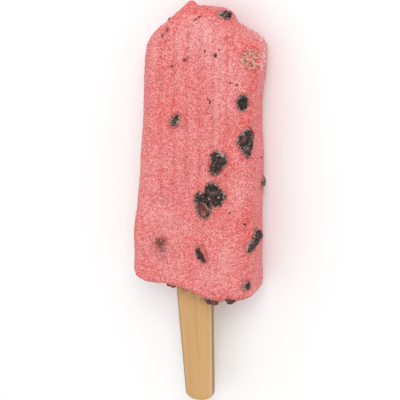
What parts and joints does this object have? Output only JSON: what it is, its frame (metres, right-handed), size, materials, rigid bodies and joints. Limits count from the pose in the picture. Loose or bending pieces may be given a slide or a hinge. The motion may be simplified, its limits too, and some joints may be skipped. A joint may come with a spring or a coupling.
{
  "type": "ice pop",
  "caption": "Fluted slab of pink frozen fruit cream set with whole dark berries, with a narrow cap and a tapered wooden stick; lies on its flat back.",
  "frame": {"origin": "on the flat back face of the ice, under the middle of the slab", "axes": "+Z out of the shown face, +Y to the tip of the ice, the stick leaves along -Y, +X to the right seen from the shown face"},
  "size_m": [0.0467, 0.1475, 0.0236],
  "materials": {
    "pink_ice": "frosty frozen fruit cream, pink with redder juice stains",
    "berry_skin": "wrinkled dark berry skin with a little frost",
    "stick_wood": "bare pale birch"
  },
  "bodies": {
    "root": {"ice_body": "pink_ice", "stick": "stick_wood", "berry_cap": "berry_skin", "berry_upper_right": "berry_skin", "berry_right": "berry_skin", "berry_upper_left": "berry_skin", "berry_middle": "berry_skin", "berry_pair_high": "berry_skin", "berry_pair_low": "berry_skin", "berry_low_left": "berry_skin", "berry_low_middle": "berry_skin", "berry_right_edge": "berry_skin", "berry_low_right": "berry_skin", "berry_right_side": "berry_skin", "berry_base_near": "berry_skin", "berry_base_far": "berry_skin", "berry_left_high": "berry_skin", "berry_left_middle": "berry_skin", "berry_left_low": "berry_skin", "berry_back_high": "berry_skin", "berry_back_left": "berry_skin", "berry_back_middle": "berry_skin", "berry_back_right": "berry_skin", "berry_back_low": "berry_skin"}
  },
  "joints": []
}
